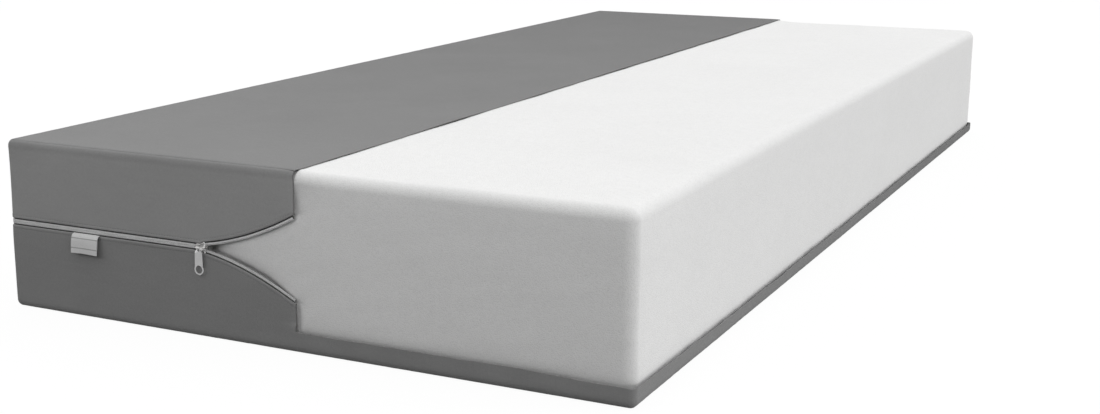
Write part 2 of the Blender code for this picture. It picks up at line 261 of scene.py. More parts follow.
def stretched(vector, scale):
    return node("Mapping", {"Vector": vector, "Scale": scale}).outputs[0]


def noise(vector, size, detail=2.0, roughness=0.5):
    """Noise whose features are about this size, in metres, from 0 to 1."""
    inputs = {"Vector": vector, "Scale": 1 / size, "Detail": detail, "Roughness": roughness}
    return node("TexNoise", inputs).outputs[0]


def spread(value, low, high, from_low=0.0, from_high=1.0):
    inputs = {0: value, 1: from_low, 2: from_high, 3: low, 4: high}
    return node("MapRange", inputs).outputs[0]


def mottled(value, amount):
    """A factor that a noise moves by this share either side of 1."""
    return spread(value, 1 - amount, 1 + amount, 0.3, 0.7)


def shade(shader, grey, factors, tint=(1, 1, 1)):
    """Base colour: a grey multiplied by every factor, then tinted."""
    value = grey
    for factor in factors:
        value = maths("MULTIPLY", value, factor)
    parts = [maths("MULTIPLY", value, t) for t in tint]
    colour = node("CombineColor", dict(enumerate(parts)))
    set_inputs(shader, {"Base Color": colour.outputs[0]})


def relief(shader, layers):
    """Bump nodes in a chain, from (height, depth in metres, strength) layers."""
    normal = None
    for height, depth, strength in layers:
        inputs = {"Height": height, "Distance": depth, "Strength": strength}
        if normal:
            inputs["Normal"] = normal
        normal = node("Bump", inputs).outputs[0]
    set_inputs(shader, {"Normal": normal})


# ---- materials


def knit_height(u, v, wale=0.0015, course=0.0012):
    """Rows of V-shaped knitted stitches: wales run along v, courses along u."""
    across = maths("SUBTRACT", maths("FRACT", maths("DIVIDE", u, wale)), 0.5)
    lean = maths("ABSOLUTE", across)
    row = ripples(maths("MULTIPLY_ADD", lean, 1.1, maths("DIVIDE", v, course)))
    gap = maths("SUBTRACT", 1.0, maths("POWER", maths("MULTIPLY", lean, 2.0), 3.0))
    return maths("MULTIPLY", row, gap)


def painted_cut_shadow(u, v, cut_u, lowest_v):
    """Painted shadow along the trimmed edge: a thin dark line where the gap under the cloth's edge lies in
    shade, above this height.
    """
    near = spread(distance_to(u, cut_u), 1.0, 0.0, 0.0, 0.0010)
    above = spread(v, 0.0, 1.0, lowest_v, lowest_v + 0.002)
    line = maths("MULTIPLY", maths("MULTIPLY", near, 0.45), above)
    return maths("SUBTRACT", 1.0, line)


def make_cover_cloth(name, grey, painted_light_fades=(), cut=None):
    """Dense mid-grey polyester knit: fine V stitches, a heathered yarn and a faint cloudiness.

    The fades are painted shade and light, tone changes for how light falls: (0 for u or 1 for v, both ends
    in metres, both shares).
    cut is the trimmed edge on the near face, where a line of painted shadow runs: how far along the cloth
    it is, and from what height.
    """
    material, shader = new_material(name)
    uv, u, v = flat_position(shader)
    knit = knit_height(u, v)
    heather = noise(uv, 0.0035, 3.0, 0.6)
    barre = noise(stretched(uv, (0.25, 1.0, 1.0)), 0.010)
    factors = [spread(knit, 0.82, 1.10), spread(heather, 0.95, 1.05, 0.25, 0.75)]
    factors += [mottled(noise(uv, 0.0012, 1.0), 0.04)]
    factors += [mottled(noise(uv, 0.16), 0.025), mottled(barre, 0.015)]
    # Painted shade and light: each fade darkens or lightens the knit by place.
    factors += [spread((u, v)[way], *shares, *ends) for way, ends, shares in painted_light_fades]
    # The painted shadow line along the trimmed edge.
    if cut:
        factors.append(painted_cut_shadow(u, v, *cut))
    shade(shader, grey, factors)
    set_inputs(shader, {"Roughness": spread(knit, 0.92, 0.82), "Specular IOR Level": 0.1})
    set_inputs(shader, {"Sheen Weight": 0.04, "Sheen Roughness": 0.55})
    relief(shader, [(heather, 0.0004, 0.15), (knit, 0.0004, 0.40)])
    return material


def make_foam():
    """White open-cell foam: pores of about a millimetre with painted shade inside, fine skin grain and
    faint random tone.
    """
    material, shader = new_material("open_cell_foam")
    place = solid_position(shader)
    cells = node("TexVoronoi", {"Vector": place, "Scale": 1 / 0.0016, "Randomness": 1.0})
    pore = spread(cells.outputs["Distance"], 0.0, 1.0, 0.05, 0.55)
    grain = noise(place, 0.0042, 3.0, 0.65)
    coarse = noise(place, 0.011)
    # Painted shade: each pore is darker inside.
    factors = [spread(pore, 0.90, 1.01), mottled(grain, 0.02)]
    factors += [mottled(coarse, 0.01), mottled(noise(place, 0.22), 0.01)]
    shade(shader, 0.865, factors, (1.0, 1.0, 0.996))
    set_inputs(shader, {"Roughness": 0.95, "Specular IOR Level": 0.15})
    relief(shader, [(coarse, 0.0006, 0.10), (grain, 0.0006, 0.14), (pore, 0.0005, 0.32)])
    return material


def make_tape():
    """Woven zip tape: a dark herringbone."""
    material, shader = new_material("zip_tape_weave")
    uv, u, v = flat_position(shader)
    zigzag = maths("PINGPONG", maths("DIVIDE", v, 0.0016), 1.0)
    rib = ripples(maths("ADD", maths("DIVIDE", u, 0.0008), zigzag))
    fuzz = noise(uv, 0.0009)
    shade(shader, 0.085, [spread(rib, 0.7, 1.25), spread(fuzz, 0.85, 1.15)])
    set_inputs(shader, {"Roughness": 0.85, "Sheen Weight": 0.1, "Specular IOR Level": 0.3})
    relief(shader, [(rib, 0.0003, 0.6)])
    return material


def make_monofilament():
    """Light grey polyester monofilament, satin, with faint drawing lines."""
    material, shader = new_material("zip_monofilament")
    place = solid_position(shader)
    fine = noise(place, 0.0008)
    drift = mottled(noise(place, 0.03), 0.04)
    shade(shader, 0.84, [drift, spread(fine, 0.95, 1.04)])
    set_inputs(shader, {"Roughness": spread(fine, 0.34, 0.48), "Specular IOR Level": 0.45})
    relief(shader, [(fine, 0.0001, 0.2)])
    return material


def make_thread(name, grey):
    """Twisted sewing thread: slanted plies seen as a fine diagonal ripple."""
    material, shader = new_material(name)
    place = solid_position(shader)
    x, y, z = node("SeparateXYZ", {0: place}).outputs
    ply = ripples(maths("ADD", x, maths("ADD", y, z)), 0.0006)
    fuzz = noise(place, 0.0015, 3.0)
    shade(shader, grey, [spread(ply, 0.82, 1.12), spread(fuzz, 0.85, 1.15)])
    set_inputs(shader, {"Roughness": 0.7, "Sheen Weight": 0.15})
    relief(shader, [(ply, 0.0001, 0.5)])
    return material


def make_metal(name, grey, roughness, wear):
    """Die-cast zinc: soft casting ripple, fine scratches and slightly polished high spots."""
    material, shader = new_material(name)
    place = solid_position(shader)
    ripple = noise(place, 0.004)
    scratch = noise(stretched(place, (1.0, 1.0, 0.06)), 0.0003, 3.0, 0.7)
    polish = spread(source(shader, "NewGeometry").outputs["Pointiness"], 0.0, 1.0, 0.48, 0.60)
    factors = [spread(ripple, 0.94, 1.05, 0.3, 0.7), spread(polish, 0.97, 1.0 + wear)]
    shade(shader, grey, factors, (1.0, 0.995, 0.985))
    rough = maths("MULTIPLY_ADD", scratch, 0.16, roughness - 0.08)
    set_inputs(shader, {"Roughness": rough, "Metallic": 1.0})
    relief(shader, [(ripple, 0.0003, 0.25), (scratch, 0.00003, 0.3)])
    return material


def make_tab_finish():
    """Satin light-grey enamel on the pull tab, with painted highlight along its edges and painted shade in
    its hollows.
    """
    material, shader = new_material("pull_tab_enamel")
    place = solid_position(shader)
    orange_peel = noise(place, 0.0012)
    # Painted highlight on the sharp edges and painted shade in the hollows, read from the mesh's
    # pointiness.
    rim = spread(source(shader, "NewGeometry").outputs["Pointiness"], 0.94, 1.12, 0.48, 0.58)
    shade(shader, 0.78, [mottled(noise(place, 0.008), 0.04), rim])
    set_inputs(shader, {"Roughness": spread(orange_peel, 0.36, 0.5), "Metallic": 0.25})
    set_inputs(shader, {"Coat Weight": 0.15, "Coat Roughness": 0.25})
    relief(shader, [(orange_peel, 0.0001, 0.25)])
    return material


def make_label_cloth():
    """Woven satin ribbon: fine weft ribs and two plain darker stripes."""
    material, shader = new_material("label_ribbon")
    uv, u, v = flat_position(shader)
    weft, warp = ripples(v, 0.0006), ripples(u, 0.0004)
    stripes = 1.0
    for centre in (0.0085, 0.0215):
        stripe = spread(distance_to(v, centre), 0.55, 1.0, 0.0005, 0.0008)
        stripes = maths("MULTIPLY", stripes, stripe)
    factors = [stripes, spread(weft, 0.93, 1.05), spread(warp, 0.97, 1.03)]
    factors.append(mottled(noise(uv, 0.0012), 0.07))
    shade(shader, 0.72, factors)
    set_inputs(shader, {"Roughness": 0.55, "Sheen Weight": 0.25, "Sheen Roughness": 0.4})
    relief(shader, [(weft, 0.0002, 0.4), (warp, 0.0001, 0.2)])
    return material


# ---- the cover's wall


def spaced(first, last, step):
    return np.linspace(first, last, max(1, round(abs(last - first) / step)) + 1)


def graded(runs):
    """Positions along a line through several stretches, each with its own step."""
    pieces = [spaced(*run) for run in runs]
    return np.concatenate([pieces[0]] + [p[1:] for p in pieces[1:]])


CORNER_X = HALF_WIDTH - COVER_RADIUS
CORNER_Y = HALF_LENGTH - COVER_RADIUS
NEAR_CUT_X = CUT_X - 0.003
NEAR_XS = [
    (NEAR_CUT_X, NEAR_CUT_X - 0.0004, 0.0004),
    (NEAR_CUT_X - 0.0004, NEAR_CUT_X - 0.0100, 0.0012),
    (NEAR_CUT_X - 0.0100, OPEN_X + 0.020, 0.0025),
    (OPEN_X + 0.020, OPEN_X - 0.003, 0.0010),
    (OPEN_X - 0.003, -CORNER_X, 0.0035),
]
STEP = 0.004
SIDE_SEAM_X, SEAM_HALF = 0.30, 0.0002
FAR_XS = [
    (-CORNER_X, CUT_X - 0.0100, STEP),
    (CUT_X - 0.0100, CUT_X - 0.0004, 0.0012),
    (CUT_X - 0.0004, CUT_X, 0.0004),
]


class Route:
    """Stations round the cover: the fillet's centre line, the way out, and the distance walked."""

    def __init__(self):
        self.centre, self.outward, self.walked, self.near = [], [], [], []

    def add(self, x, y, out_x, out_y, distance, near):
        self.centre.append((x, y, 0.0))
        self.outward.append((out_x, out_y, 0.0))
        self.walked.append((self.walked[-1] if self.walked else 0.0) + distance)
        self.near.append(near)

    def line(self, xs, ys, outward, near=False):
        xs, ys = np.broadcast_arrays(xs, ys)
        for i, (x, y) in enumerate(zip(xs, ys)):
            if i or not self.walked:
                gone = math.hypot(x - xs[i - 1], y - ys[i - 1]) if i else 0.0
                self.add(x, y, *outward, gone, near)
        return self

    def corner(self, x, y, first_degrees, steps=6):
        for i in range(1, steps + 1):
            angle = math.radians(first_degrees - 90 * i / steps)
            gone = COVER_RADIUS * math.pi / 2 / steps
            self.add(x, y, math.cos(angle), math.sin(angle), gone, False)
        return self

    def round_the_left(self, step=STEP, near_runs=NEAR_XS):
        """From the cut on the near face, round the left side, to the cut on the far face."""
        self.line(graded(near_runs), -CORNER_Y, (0, -1), True)
        self.corner(-CORNER_X, -CORNER_Y, 270)
        self.line(-CORNER_X, spaced(-CORNER_Y, CORNER_Y, step), (-1, 0))
        self.corner(-CORNER_X, CORNER_Y, 180)
        return self.line(graded(FAR_XS), CORNER_Y, (0, 1))

    def arrays(self):
        for name in ("centre", "outward", "walked", "near"):
            setattr(self, name, np.array(getattr(self, name)))
        return self


def left_route(*runs):
    return Route().round_the_left(*runs).arrays()


def whole_route():
    """All the way round, from the band's own side seam on the far face back to it."""
    route = Route().line(spaced(SIDE_SEAM_X + SEAM_HALF, CORNER_X, STEP), CORNER_Y, (0, 1))
    route.corner(CORNER_X, CORNER_Y, 90)
    route.line(CORNER_X, spaced(CORNER_Y, -CORNER_Y, STEP), (1, 0))
    route.corner(CORNER_X, -CORNER_Y, 0)
    route.line(spaced(CORNER_X, NEAR_CUT_X, STEP), -CORNER_Y, (0, -1), True)
    route.round_the_left()
    route.line(spaced(CUT_X, SIDE_SEAM_X - SEAM_HALF, STEP), CORNER_Y, (0, 1))
    return route.arrays()


def chain_offset(x):
    """How far one open chain's coil lies from the zip's centre line."""
    past = np.maximum(x - OPEN_X, 0)
    parting = PARTING * (1 - np.exp(-((past / PARTING_LENGTH) ** 2)))
    return CHAIN_HALF + parting + SPREAD * past + SPREAD_CURVE * past**2


def chain_slope(x):
    step = 0.0005
    return (chain_offset(x + step) - chain_offset(x - step)) / (2 * step)


def cloth_offset(x):
    return chain_offset(x) + CLOTH_EDGE * np.hypot(1, chain_slope(x))


def zip_edges(route):
    """For each station, how far the cloth's zip edge is from the centre line, and its slope."""
    x = np.where(route.near, route.centre[:, 0], OPEN_X - 1)
    return cloth_offset(x), chain_slope(x)


def on_wall(route, z, depth):
    """Points on the wall, this deep below the cover's outer face. The arrays are row by station."""
    return route.centre + route.outward * (COVER_RADIUS - depth)[..., None] + up(z)


def up(z):
    return np.stack([np.zeros_like(z), np.zeros_like(z), z], -1)


def round_edge(route, side, angle, depth):
    """Points on the rounded edge, at this angle from straight up or down."""
    radius = COVER_RADIUS - depth
    z = WALL_Z[side > 0] + side * radius * np.cos(angle)
    return route.centre + route.outward * (radius * np.sin(angle))[..., None] + up(z)


# ---- cloth sheets


def cloth_sheet(name, outer, inner, uvs, keep, bulges, material, held="stretched", on="foam_block"):
    """Closed cloth from an outer and an inner grid, with a rounded rim round the kept cells.

    bulges holds, for each grid point, how far its rim swells past the edge.
    """
    rows, columns = outer.shape[:2]
    count = rows * columns
    number = np.arange(count).reshape(rows, columns)
    a, b = number[:-1, :-1][keep], number[:-1, 1:][keep]
    d, c = number[1:, :-1][keep], number[1:, 1:][keep]
    quads = np.stack([a, b, c, d], -1)
    flat_outer, flat_inner = outer.reshape(-1, 3), inner.reshape(-1, 3)

    middle = flat_outer[quads].mean(1)
    owner = {}
    for i, quad in enumerate(quads.tolist()):
        for edge in zip(quad, quad[1:] + quad[:1]):
            owner[edge] = i
    edges = [(*edge, i) for edge, i in owner.items() if edge[::-1] not in owner]
    pull = {}
    for first, second, i in edges:
        away = (flat_outer[first] + flat_outer[second]) / 2 - middle[i]
        away /= np.linalg.norm(away)
        for end in (first, second):
            pull[end] = pull.get(end, 0) + away

    steps = 4
    extra, rim, extra_uv = [], {}, []
    flat_uv, flat_bulge = uvs.reshape(-1, 2), bulges.reshape(-1)
    for point, away in pull.items():
        away = away / max(np.linalg.norm(away), 1e-9)
        rim[point] = [point]
        for k in range(1, steps):
            turn = math.pi * k / steps
            share = (1 - math.cos(turn)) / 2
            place = flat_outer[point] * (1 - share) + flat_inner[point] * share
            rim[point].append(2 * count + len(extra))
            extra.append(place + away * flat_bulge[point] * math.sin(turn))
            extra_uv.append(flat_uv[point])
        rim[point].append(count + point)
    faces = np.concatenate([quads, quads[:, ::-1] + count])
    strips = [
        (rim[second][k], rim[first][k], rim[first][k + 1], rim[second][k + 1])
        for first, second, _ in edges
        for k in range(steps)
    ]
    faces = np.concatenate([faces, np.array(strips)])
    points = np.concatenate([flat_outer, flat_inner, np.array(extra)])
    all_uvs = np.concatenate([flat_uv, flat_uv, np.array(extra_uv)])
    used, faces = np.unique(faces, return_inverse=True)
    obj = mesh_object(name, points[used], faces.reshape(-1, 4), material, all_uvs[used])
    declare_cloth(uvs, keep)
    return obj


def every_cell(grid):
    return np.ones((grid.shape[0] - 1, grid.shape[1] - 1), bool)


def declare_cloth(uvs, keep):
    """Works out the flat size and area the piece's grid was cut to; the values are not kept."""
    u, v = uvs[..., 0], uvs[..., 1]
    across = np.abs(np.diff(u, axis=1))[:-1] * np.abs(np.diff(v, axis=0))[:, :-1]
    area = float(across[keep].sum())
    kept = np.zeros(u.shape, bool)
    kept[:-1, :-1] |= keep
    kept[1:, 1:] |= keep
    width, length = sorted((float(np.ptp(v[kept])), float(np.ptp(u[kept]))))
    area = min(area, width * length)


LIP_DIP, LIP_SIDE_DIP = 0.0022, 0.0042
EDGE_ROWS = np.array([0, 0.7, 1.4, 2.1, 2.7, 3.1, 3.5, 3.9, 4.4, 5.2, 6.6, 9, 12, 16]) * 0.001
HEM, SEAM_RIM, CUT_RIM = 0.0010, 0.0001, 0.0002
CUT_CLOTH, CUT_SINK, PANEL_CUT_SINK = 0.0009, 0.0023, 0.0006
SLACK, FINE_SLACK, GATHER, PUCKER = 0.00045, 0.00012, 0.00012, 0.00013
HEM_RISE, STITCH_DENT = 0.00020, 0.00022
ZIP_REACH, CUT_REACH, SEAM_REACH = 0.006, 0.006, 0.020
BAND_LIMITS, TOP_LIMITS, BOTTOM_LIMITS = (-0.0026, 0.0010), (-0.0026, 0.0012), (-0.0002, 0.0)


def cloth_relief(walked, height, to_zip, to_seam, from_cut, seed):
    """How far the cover stands out of its plain wall: slack, puckers, hem, stitch dent, cut."""
    slack = SLACK * waves(walked, height, 0.21, seed)
    slack += FINE_SLACK * waves(walked, height * 0.6, 0.060, seed + 1)
    inside = 1 - np.exp(-to_zip / ZIP_REACH)
    out = slack * inside * (1 - np.exp(-to_seam / SEAM_REACH))
    out += HEM_RISE * bump(to_zip, 0.0018, 0.0020)
    out -= STITCH_DENT * bump(to_zip, STITCH_SETBACK, 0.0007)
    by_zip = np.exp(-to_zip / 0.011) * (1 - np.exp(-to_zip / 0.0025))
    out += GATHER * gathers(walked, 0.015, 0.11, seed + 2) * by_zip
    out += PUCKER * gathers(walked, 0.030, 0.17, seed + 4) * np.exp(-to_seam / SEAM_REACH)
    out -= CUT_SINK * np.exp(-from_cut / CUT_REACH) * (1 + 0.06 * waves(height, 0, 0.05, seed + 6))
    return np.clip(out, *BAND_LIMITS)


def cloth_thickness(from_cut):
    """The cloth is pressed thin where it was cut."""
    return CLOTH - (CLOTH - CUT_CLOTH) * np.exp(-from_cut / 0.004)


def band_rows(route, side):
    """Heights of the wall's rows, from the zip edge to where the rounded edge starts."""
    offset, slope = zip_edges(route)
    lean = np.hypot(1, slope)
    edge = ZIP_Z + side * (offset + HEM * lean)
    fixed = edge + side * EDGE_ROWS[:, None] * lean
    return edge, fixed


def lip_dip(x, y):
    """The trimmed lip is lower round the near corner and along the side."""
    towards_corner = blend_step(x, CORNER_X - 0.14, CORNER_X)
    along_side = 0.3 * blend_step(y, -CORNER_Y, -CORNER_Y + 0.06)
    along_side = along_side + 0.7 * blend_step(y, -CORNER_Y, -CORNER_Y + 0.45)
    return LIP_DIP * towards_corner + LIP_SIDE_DIP * along_side * (x > CORNER_X - 0.02)


def beyond_the_cut(route):
    """How far each station of the two end walls lies to the right of the cut."""
    cut_x = np.where(route.outward[:, 1] < 0, NEAR_CUT_X, CUT_X)
    on_ends = np.abs(route.outward[:, 1]) > 0.999
    right_side = np.where(route.centre[:, 0] > 0, 1.0, -1.0)
    return np.where(on_ends, route.centre[:, 0] - cut_x, right_side)


def distance_from_cut(route):
    """Distance along the wall to the nearer cut edge of the left-hand part."""
    beyond = beyond_the_cut(route)
    return np.where(beyond <= TINY, np.maximum(-beyond, 0), 1.0)


LAST_ANGLE = SEAM_ANGLE + (SEAM_GAP + SEAM_RIM) / COVER_RADIUS
ARC_TURNS = np.linspace(math.pi / 2, LAST_ANGLE, 4)[1:-1]
ARC_ANGLES = np.append(ARC_TURNS, [LAST_ANGLE + 0.0003 / COVER_RADIUS, LAST_ANGLE])
ARC_LENGTHS = (math.pi / 2 - ARC_ANGLES) * COVER_RADIUS


def build_upper_band(material):
    route = left_route()
    edge, fixed = band_rows(route, 1)
    top = WALL_Z[1]
    shares = spaced(0, 1, 1 / 14)[1:, None]
    wall_z = np.concatenate([fixed, fixed[-1] + shares * (top - fixed[-1])])
    height = np.concatenate([wall_z, top + ARC_LENGTHS[:, None] + 0 * edge])
    seam_v = top + ARC_LENGTHS[-1]
    _, slope = zip_edges(route)
    to_zip = (height - edge) / np.hypot(1, slope)
    walked = np.broadcast_to(route.walked, height.shape)
    from_cut = np.broadcast_to(distance_from_cut(route), height.shape)
    out = cloth_relief(walked, height, to_zip, seam_v - height, from_cut, 11)
    keep = every_cell(height)
    return band_object("upper_band_cloth", route, 1, wall_z, height, out, from_cut, keep, material)


def band_object(name, route, side, wall_z, height, out, from_cut, keep, material):
    """The band's cloth, from its wall rows and its rounded-edge rows."""
    walls = len(wall_z)
    grids = []
    for thickness in (0, cloth_thickness(from_cut)):
        depth = thickness - out
        wall = on_wall(route, wall_z, depth[:walls])
        turned = round_edge(route, side, ARC_ANGLES[:, None], depth[walls:])
        grids.append(np.concatenate([wall, turned]))
    uvs = np.stack([np.broadcast_to(route.walked, height.shape), height], -1)
    bulges = np.full(height.shape, CUT_RIM)
    bulges[0], bulges[-1] = HEM, SEAM_RIM
    return cloth_sheet(name, *grids, uvs, keep, bulges, material)


def build_lower_band(material):
    """Full height on the left, and trimmed to a lip on the right, with a slightly wavy edge."""
    route = whole_route()
    edge, fixed = band_rows(route, -1)
    shares = spaced(0, 1, 1 / 12)[1:, None]
    above_lip = fixed[-1] + shares * (LIP_TOP - fixed[-1])
    lip = np.array([0.0269, 0.0264, 0.0255, 0.0235, 0.0205, 0.0165, 0.0125, WALL_Z[0]])[:, None]
    beyond_cut = beyond_the_cut(route)
    on_lip = blend_step(beyond_cut, 0.0, 0.02)
    sway = 0.0003 * waves(route.walked, 0, 0.09, 61) + 0.0002 * waves(route.walked, 0, 0.03, 62)
    dip = lip_dip(route.centre[:, 0], route.centre[:, 1])
    rise = on_lip * (np.clip(sway, -0.0008, 0.0008) - dip)
    share_up = (lip - WALL_Z[0]) / (LIP_TOP - WALL_Z[0])
    above_lip = above_lip + (shares == 1) * rise
    wall_z = np.concatenate([fixed, above_lip, lip + share_up * rise])
    height = np.concatenate([wall_z, WALL_Z[0] - ARC_LENGTHS[:, None] + 0 * edge])
    _, slope = zip_edges(route)
    to_zip = np.maximum(edge - height, 0) / np.hypot(1, slope)
    to_zip = np.where(beyond_cut > TINY, 1.0, to_zip)
    to_seam = height - (WALL_Z[0] - ARC_LENGTHS[-1])
    walked = np.broadcast_to(route.walked, height.shape)
    cut = distance_from_cut(route) + 0.030 * blend_step(LIP_TOP - height, -0.012, 0.001)
    out = cloth_relief(walked, height, to_zip, to_seam, cut, 31)
    lip_top = blend_step(height, 0.012, LIP_TOP) * on_lip
    curl = 0.5 + 0.5 * waves(walked, 0, 0.07, 63)
    facing = np.clip(-route.outward[:, 1], 0, 1)
    out = out - lip_top * 0.0007 * np.clip(curl, 0, 1.5) * facing
    first_lip_row = len(fixed) + len(above_lip) - 1
    keep = every_cell(height)
    right = (beyond_cut[:-1] > -TINY) & (beyond_cut[1:] > -TINY)
    keep[:first_lip_row, right] = False
    below_lip = np.where(beyond_cut > 0, np.maximum(LIP_TOP + rise - height, 0), 1.0)
    thin_edge = np.minimum(cut, below_lip)
    return band_object("lower_band_cloth", route, -1, wall_z, height, out, thin_edge, keep, material)


def panel_lines(low, high, open_high):
    """Grid lines across a panel: (position, edge share) pairs, the share being 1 at a seam."""
    arc = [1.0, 0.94, 0.62, 0.31]
    fine = [0.002, 0.005, 0.009, 0.014, 0.020, 0.027, 0.035]
    middle = spaced(low + fine[-1] + 0.009, high - fine[-1] - 0.009, 0.0095)
    lines = [(low, -share) for share in arc] + [(low, 0.0)]
    lines += [(low + f, 0.0) for f in fine] + [(x, 0.0) for x in middle]
    fine = fine if not open_high else [0.0004, 0.0016, 0.0030] + fine[1:]
    lines += [(high - f, 0.0) for f in reversed(fine)] + [(high, 0.0)]
    if not open_high:
        lines += [(high, share) for share in reversed(arc)]
    return np.array(lines)


def build_panel(name, side, right_x, material, seed):
    """The flat top or bottom of the cover, with its share of the rounded edge."""
    open_right = right_x < HALF_WIDTH - TINY
    x_lines = panel_lines(-CORNER_X, right_x if open_right else CORNER_X, open_right)
    y_lines = panel_lines(-CORNER_Y, CORNER_Y, False)
    x, share_x = (a[None, :] for a in x_lines.T)
    y, share_y = (a[:, None] for a in y_lines.T)
    x, y, share_x, share_y = np.broadcast_arrays(x, y, share_x, share_y)
    disc_x = share_x * np.sqrt(1 - share_y**2 / 2)
    disc_y = share_y * np.sqrt(1 - share_x**2 / 2)
    length = np.hypot(disc_x, disc_y)
    last = SEAM_ANGLE - (SEAM_GAP + SEAM_RIM) / COVER_RADIUS
    angle = last * length
    way = np.stack([disc_x, disc_y], -1) / np.maximum(length, 1e-9)[..., None]
    u = x + share_x * last * COVER_RADIUS
    v = y + share_y * last * COVER_RADIUS
    from_side = u + HALF_WIDTH if open_right else HALF_WIDTH - np.abs(u)
    from_edge = np.minimum(HALF_LENGTH - np.abs(v), np.minimum(from_side, 1.0))
    along = np.where(np.abs(np.abs(v) - HALF_LENGTH) < np.abs(u + HALF_WIDTH), u, v)
    out = SLACK * waves(u, v, 0.24, seed) + FINE_SLACK * waves(u, v, 0.075, seed + 1)
    out = out * (1 - np.exp(-np.maximum(from_edge - 0.004, 0) / SEAM_REACH))
    out = out + PUCKER * gathers(along, 0.030, 0.15, seed + 2) * np.exp(-from_edge / SEAM_REACH)
    if open_right:
        rest = 1 + 0.06 * waves(v, 0, 0.10, seed + 4) + 0.04 * waves(v, 0, 0.035, seed + 5)
        out = out - PANEL_CUT_SINK * np.exp(-(right_x - u) / CUT_REACH) * rest
        shift = np.exp(-(v + HALF_LENGTH) / 0.015) * np.exp(-(right_x - u) / 0.020)
        x = x - (CUT_X - NEAR_CUT_X) * shift
    out = np.clip(out, *(TOP_LIMITS if side > 0 else BOTTOM_LIMITS))
    grids = []
    from_cut = right_x - u if open_right else np.ones(u.shape)
    for thickness in (0, cloth_thickness(from_cut)):
        radius = COVER_RADIUS - thickness + out
        z = WALL_Z[side > 0] + side * radius * np.cos(angle)
        flat = way * (radius * np.sin(angle))[..., None]
        grids.append(np.stack([x + flat[..., 0], y + flat[..., 1], z], -1))
    uvs = np.stack([u, v], -1)
    keep = every_cell(u)
    bulges = np.full(u.shape, SEAM_RIM)
    return cloth_sheet(name, *grids, uvs, keep, bulges, material)


def build_overlock(name, route, side, material):
    """The overlocked seam allowance inside the cover: a strip with looping thread over it."""
    inward = COVER_RADIUS - CLOTH - 0.0014
    half, thick = 0.0023, 0.0009
    pitch, wire = 0.0017, 0.00022
    normal = route.outward * math.sin(SEAM_ANGLE) + np.array([0, 0, side * math.cos(SEAM_ANGLE)])
    along = np.array([0, 0, side * math.sin(SEAM_ANGLE)]) - route.outward * math.cos(SEAM_ANGLE)
    middle = route.centre + np.array([0, 0, WALL_Z[side > 0]]) + normal * inward
    profile = [(-half, 0), (half, 0), (half, -thick), (-half, -thick)]
    strip = swept(np.stack([middle + along * a + normal * o for a, o in profile], 1))

    walked = np.arange(0.003, route.walked[-1] - 0.003, pitch)
    spots, ways, ins = (sampled(walked, route.walked, rows) for rows in (middle, along, normal))
    side_of = np.where(np.arange(len(walked)) % 2 == 0, 1, -1)[:, None] * half * 0.95
    thread = spots + ways * side_of - ins * (thick + 0.00015)
    return mesh_object(name, *merged([strip, tube(thread, ins, wire, 5)]), material)


# ---- foam


FOAM_STEP, FOAM_FINE_STEP = 0.018, 0.0025
FOAM_FINE_X = (OPEN_X - 0.040, CUT_X + 0.030)
FOAM_FINE_Z = (0.022, 0.190)


def rounded_lines(low, high, radius, fine=None):
    """Grid lines between two sides, close together in the rounded margins and a fine stretch."""
    turns = np.radians(np.linspace(0, 45, 6))
    margin = radius * np.tan(turns)
    start, end = low + radius - margin[::-1], high - radius + margin
    runs = [(start[-1], end[0], FOAM_STEP)]
    if fine:
        runs = [(start[-1], fine[0], FOAM_STEP), (*fine, FOAM_FINE_STEP), (fine[1], end[0], FOAM_STEP)]
    return np.concatenate([start, graded(runs)[1:-1], end])


LIP_TUCK = 0.004
TIP_DEPTH, TIP_REACH_X, TIP_REACH_Z = 0.020, 0.016, 0.014
UNDER_ZIP = dict(under=0.007, recovery=0.006)
SWELL, EDGE_FILL = 0.0020, 0.0022


def pinch(distance, depth, reach, under=0.010, recovery=0.020):
    """How far the foam is drawn in beside an edge of the cover. Well under it, the foam recovers."""
    covered = np.maximum(-distance - under, 0)
    return depth * np.exp(-np.maximum(distance, 0) / reach) * np.exp(-covered / recovery)


